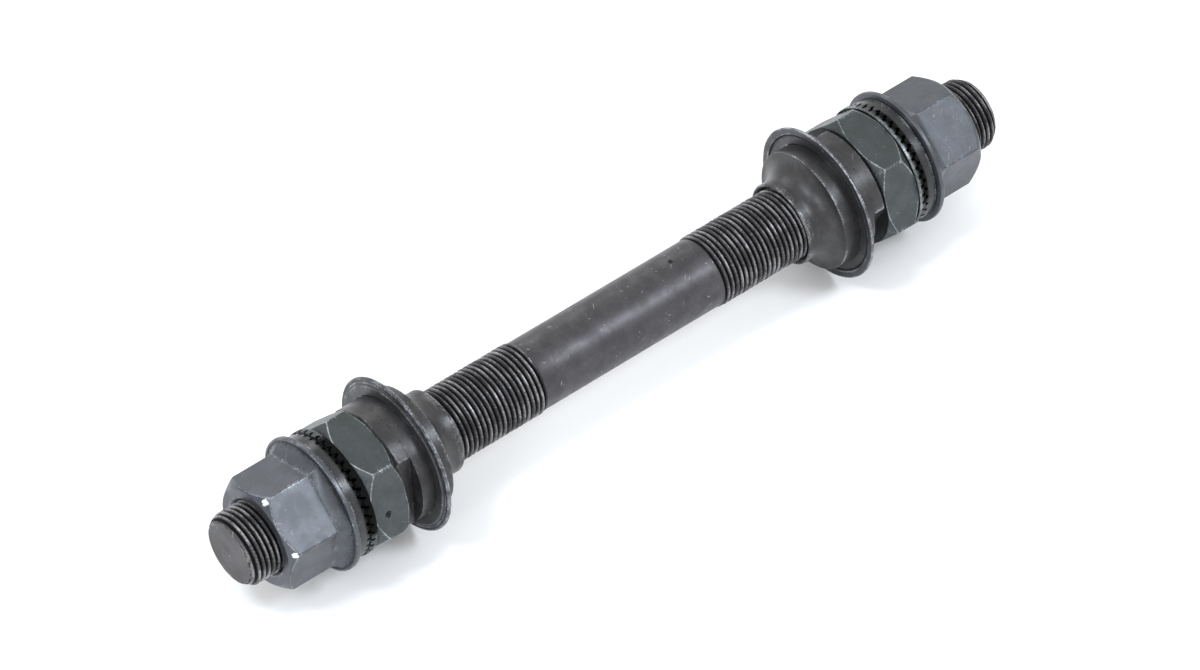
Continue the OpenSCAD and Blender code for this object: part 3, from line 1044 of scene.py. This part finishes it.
def softbox(name, direction, distance, width, tall, power, colour):
    """An area light that faces the set from a direction, in metres and watts."""
    lamp = bpy.data.lights.new(name, "AREA")
    lamp.shape = "RECTANGLE"
    lamp.size = width
    lamp.size_y = tall
    lamp.energy = power
    lamp.color = colour
    made = new_object(name, lamp)
    way = Vector(direction).normalized()
    made.matrix_world = (
        Matrix.Translation(way * distance) @ way.to_track_quat("Z", "Y").to_matrix().to_4x4()
    )
    made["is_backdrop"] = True


class AXLE_OT_stage(bpy.types.Operator):
    """Build the stage: camera, soft lights, white surroundings and a pale floor"""

    bl_idname = "axle.stage"
    bl_label = "Stage"

    def world(self, context):
        """A plain white sky, the background and an even light from all round."""
        world = bpy.data.worlds.new("axle_world")
        context.scene.world = world
        world.use_nodes = True
        world.node_tree.nodes.clear()
        wire = Wiring(world.node_tree)
        sky = wire.node("ShaderNodeBackground", {"Color": (1, 1, 1, 1), "Strength": 1.0})
        wire.node("ShaderNodeOutputWorld", {"Surface": sky.outputs[0]})

    def floor(self):
        """A level sheet under the set, pale enough to match the background."""
        reach = np.array([[-3, -3], [3, -3], [3, 3], [-3, 3]], dtype=float)
        level = np.full((4, 1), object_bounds()[0][2] - FLOOR_GAP)
        mesh = bpy.data.meshes.new("floor")
        mesh.from_pydata(np.hstack([reach, level]).tolist(), [], [(0, 1, 2, 3)])
        paint = bpy.data.materials.new("floor_paint")
        paint.use_nodes = True
        wire = Wiring(paint.node_tree)
        place = wire.node("ShaderNodeTexCoord").outputs["Object"]
        cloud = wire.noise(place, 3.0, 2.0, 0.5)
        tone = wire.mix(cloud, (0.93, 0.93, 0.93, 1), (0.95, 0.95, 0.95, 1))
        inputs = paint.node_tree.nodes["Principled BSDF"].inputs
        for key, value in {"Base Color": tone, "Roughness": 1.0, "Specular IOR Level": 0.0}.items():
            wire.put(inputs[key], value)
        mesh.materials.append(paint)
        new_object("floor", mesh)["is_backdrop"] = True

    def camera(self, context, size):
        """The camera of the photograph: direction, distance and lens."""
        level = math.cos(size.elevation)
        back = Vector((
            math.sin(size.azimuth) * level,
            -math.cos(size.azimuth) * level,
            math.sin(size.elevation),
        ))
        right = Vector((math.cos(size.azimuth), math.sin(size.azimuth), 0))
        upward = back.cross(right)
        aim = Vector(AIM) + right * AIM_OFFSET[0] + upward * AIM_OFFSET[1]
        lens = bpy.data.cameras.new("camera")
        lens.lens = size.lens
        lens.sensor_width = 36
        lens.sensor_fit = "HORIZONTAL"
        lens.clip_start = 0.05
        made = new_object("camera", lens)
        turn = Matrix((right, upward, back)).transposed().to_4x4()
        made.matrix_world = Matrix.Translation(aim + back * size.distance * MM) @ turn
        context.scene.camera = made
        made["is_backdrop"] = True

    def execute(self, context):
        size = sizes(context.scene.axle_stage)
        context.scene.view_settings.view_transform = "Standard"
        self.world(context)
        self.floor()
        self.camera(context, size)
        for name, light in LIGHTS.items():
            softbox(name, *light)
        return {"FINISHED"}


class AXLE_PT_panel(bpy.types.Panel):
    """Lists the operators in the order in which they are run"""

    bl_idname = "AXLE_PT_panel"
    bl_label = "Front hub axle"
    bl_space_type = "VIEW_3D"
    bl_region_type = "UI"
    bl_category = "Axle"

    def draw(self, context):
        for operator in OPERATORS:
            self.layout.operator(operator.bl_idname)


OPERATORS = (
    AXLE_OT_bar,
    AXLE_OT_nuts,
    AXLE_OT_washers,
    AXLE_OT_locknuts,
    AXLE_OT_cones,
    AXLE_OT_caps,
    AXLE_OT_stage,
)
SETTINGS = {
    "axle_bar": AxleBarSettings,
    "axle_nuts": AxleNutSettings,
    "axle_washers": WasherSettings,
    "axle_locknuts": LocknutSettings,
    "axle_cones": ConeSettings,
    "axle_caps": CapSettings,
    "axle_stage": StageSettings,
}


def register():
    """Register the settings, the operators and the panel."""
    for name, group in SETTINGS.items():
        bpy.utils.register_class(group)
        setattr(bpy.types.Scene, name, bpy.props.PointerProperty(type=group))
    for operator in OPERATORS:
        bpy.utils.register_class(operator)
    bpy.utils.register_class(AXLE_PT_panel)


def unregister():
    """Take everything away again, in the opposite order."""
    bpy.utils.unregister_class(AXLE_PT_panel)
    for operator in reversed(OPERATORS):
        bpy.utils.unregister_class(operator)
    for name, group in reversed(SETTINGS.items()):
        delattr(bpy.types.Scene, name)
        bpy.utils.unregister_class(group)


def main():
    """Build every piece and the stage."""
    register()
    bpy.ops.axle.bar()
    bpy.ops.axle.nuts()
    bpy.ops.axle.washers()
    bpy.ops.axle.locknuts()
    bpy.ops.axle.cones()
    bpy.ops.axle.caps()
    bpy.ops.axle.stage()


if __name__ == "__main__":
    main()
